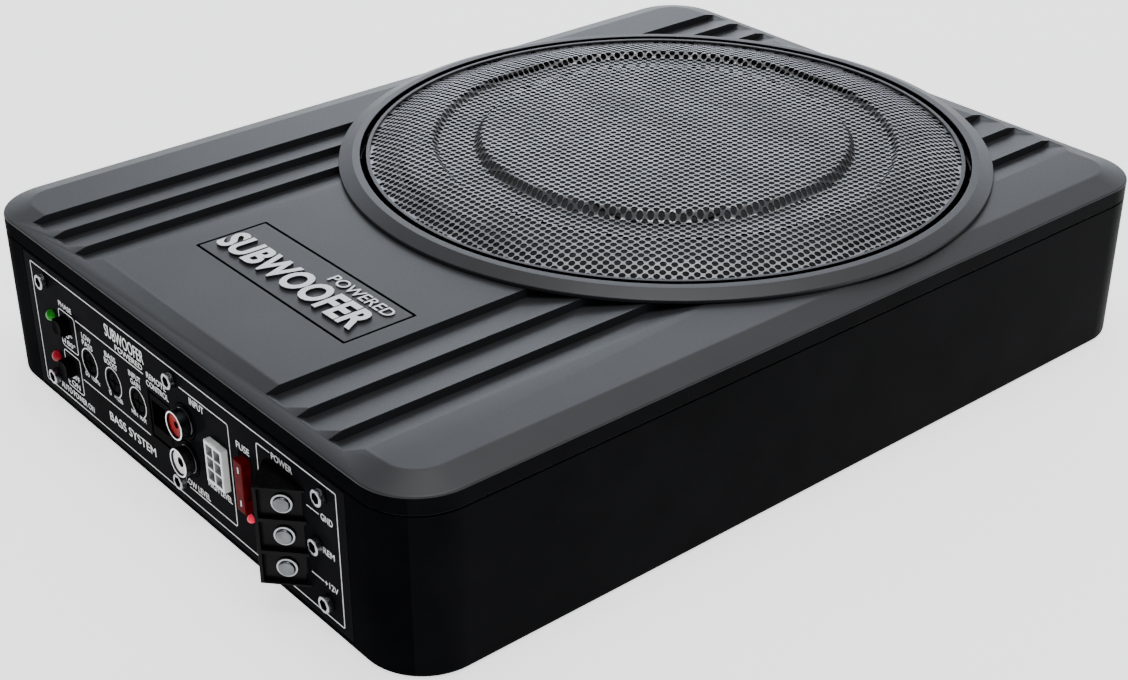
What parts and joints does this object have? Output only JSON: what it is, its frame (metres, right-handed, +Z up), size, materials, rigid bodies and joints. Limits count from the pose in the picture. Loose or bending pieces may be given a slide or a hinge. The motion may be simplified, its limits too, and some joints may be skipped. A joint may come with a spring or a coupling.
{
  "type": "powered car subwoofer",
  "caption": "Flat amplified under-seat bass speaker: shallow case, round domed grille in a raised ring, control panel on one end.",
  "frame": {"origin": "centre of the case's footprint, on its flat underside", "axes": "+Z up through the grille, -Y out of the control panel, +Y along the case's long side, +X to the right of someone who faces the panel"},
  "size_m": [0.2596, 0.356, 0.0752],
  "materials": {
    "case_black": "satin black powder coat with a very fine grain",
    "cover_grey": "satin dark grey powder coat with a very fine grain",
    "ring_grey": "satin dark grey",
    "grille_metal": "perforated sheet, metallic grey paint",
    "panel_black": "gloss black with white print",
    "screw_steel": "bright zinc plate",
    "shell_chrome": "nickel plate",
    "black_plastic": "moulded black",
    "white_plastic": "moulded white nylon",
    "red_plastic": "moulded red",
    "pot_plastic": "moulded dark blue-grey",
    "fuse_red": "translucent red",
    "lens_green": "tinted lens",
    "lens_red": "tinted lens",
    "basket_black": "black pressed steel",
    "gasket_foam": "closed-cell foam",
    "motor_steel": "zinc-plated steel",
    "ferrite": "sintered ferrite",
    "coil_copper": "enamelled copper wire",
    "cone_paper": "black coated paper",
    "surround_rubber": "soft matt rubber",
    "spider_cloth": "resin-treated woven cloth",
    "board_green": "solder-masked circuit board",
    "sink_aluminium": "extruded"
  },
  "bodies": {
    "root": {"lower_case": "case_black", "top_cover": "cover_grey", "badge_plate": "cover_grey", "trim_ring": "ring_grey", "grille_rim": "ring_grey", "grille_mesh": "grille_metal", "case_screw_1": "screw_steel", "case_screw_2": "screw_steel", "case_screw_3": "screw_steel", "case_screw_4": "screw_steel", "driver_basket": "basket_black", "driver_gasket": "gasket_foam", "yoke": "motor_steel", "top_plate": "motor_steel", "magnet": "ferrite", "surround": "surround_rubber", "spider": "spider_cloth", "control_panel": "panel_black", "panel_screw_1": "screw_steel", "panel_screw_2": "screw_steel", "panel_screw_3": "screw_steel", "panel_screw_4": "screw_steel", "panel_screw_5": "screw_steel", "panel_screw_6": "screw_steel", "panel_screw_7": "screw_steel", "led_green": "lens_green", "led_red": "lens_red", "led_fuse": "lens_red", "phase_switch": "black_plastic", "autopower_switch": "black_plastic", "lowpass_pot": "pot_plastic", "bassboost_pot": "pot_plastic", "gain_pot": "pot_plastic", "remote_jack": "black_plastic", "rca_housing": "black_plastic", "rca_shell_red": "shell_chrome", "rca_shell_white": "shell_chrome", "rca_insert_red": "red_plastic", "rca_insert_white": "white_plastic", "highlevel_socket": "white_plastic", "fuse_holder": "black_plastic", "terminal_block": "black_plastic", "amp_board": "board_green", "transformer": "coil_copper", "capacitor_1": "black_plastic", "capacitor_2": "black_plastic", "heatsink": "sink_aluminium"},
    "cone_assembly": {"cone": "cone_paper", "dust_cap": "cone_paper", "voice_coil": "coil_copper"},
    "phase_button": {"phase_button": "black_plastic"},
    "autopower_button": {"autopower_button": "black_plastic"},
    "lowpass_knob": {"lowpass_knob": "black_plastic"},
    "bassboost_knob": {"bassboost_knob": "black_plastic"},
    "gain_knob": {"gain_knob": "black_plastic"},
    "blade_fuse": {"blade_fuse": "fuse_red"},
    "terminal_screw_1": {"terminal_screw_1": "screw_steel"},
    "terminal_screw_2": {"terminal_screw_2": "screw_steel"},
    "terminal_screw_3": {"terminal_screw_3": "screw_steel"}
  },
  "joints": [
    {"name": "cone_travel", "type": "slide", "parent": "root", "child": "cone_assembly", "axis": [0, 0, 1], "range_m": [-0.005, 0.005], "stiffness_N_per_m": 5000, "deforming": ["surround", "spider"]},
    {"name": "phase_press", "type": "slide", "parent": "root", "child": "phase_button", "axis": [0, 1, 0], "range_m": [0, 0.003], "stiffness_N_per_m": 400},
    {"name": "autopower_press", "type": "slide", "parent": "root", "child": "autopower_button", "axis": [0, 1, 0], "range_m": [0, 0.003], "stiffness_N_per_m": 400},
    {"name": "lowpass_turn", "type": "hinge", "parent": "root", "child": "lowpass_knob", "pos_m": [-0.0573, -0.1725, 0.0284], "axis": [0, -1, 0], "range_deg": [-150, 150]},
    {"name": "bassboost_turn", "type": "hinge", "parent": "root", "child": "bassboost_knob", "pos_m": [-0.0403, -0.1725, 0.0284], "axis": [0, -1, 0], "range_deg": [-150, 150]},
    {"name": "gain_turn", "type": "hinge", "parent": "root", "child": "gain_knob", "pos_m": [-0.0233, -0.1725, 0.0284], "axis": [0, -1, 0], "range_deg": [-150, 150]},
    {"name": "fuse_travel", "type": "slide", "parent": "root", "child": "blade_fuse", "axis": [0, -1, 0], "range_m": [0, 0.017]},
    {"name": "terminal_turn_1", "type": "hinge", "parent": "root", "child": "terminal_screw_1", "pos_m": [0.07351, -0.17657, 0.04057], "axis": [0.6717, -0.7408, 0], "range_deg": [-180, 180]},
    {"name": "terminal_turn_2", "type": "hinge", "parent": "root", "child": "terminal_screw_2", "pos_m": [0.07351, -0.17657, 0.02891], "axis": [0.6717, -0.7408, 0], "range_deg": [-180, 180]},
    {"name": "terminal_turn_3", "type": "hinge", "parent": "root", "child": "terminal_screw_3", "pos_m": [0.07351, -0.17657, 0.01724], "axis": [0.6717, -0.7408, 0], "range_deg": [-180, 180]}
  ]
}
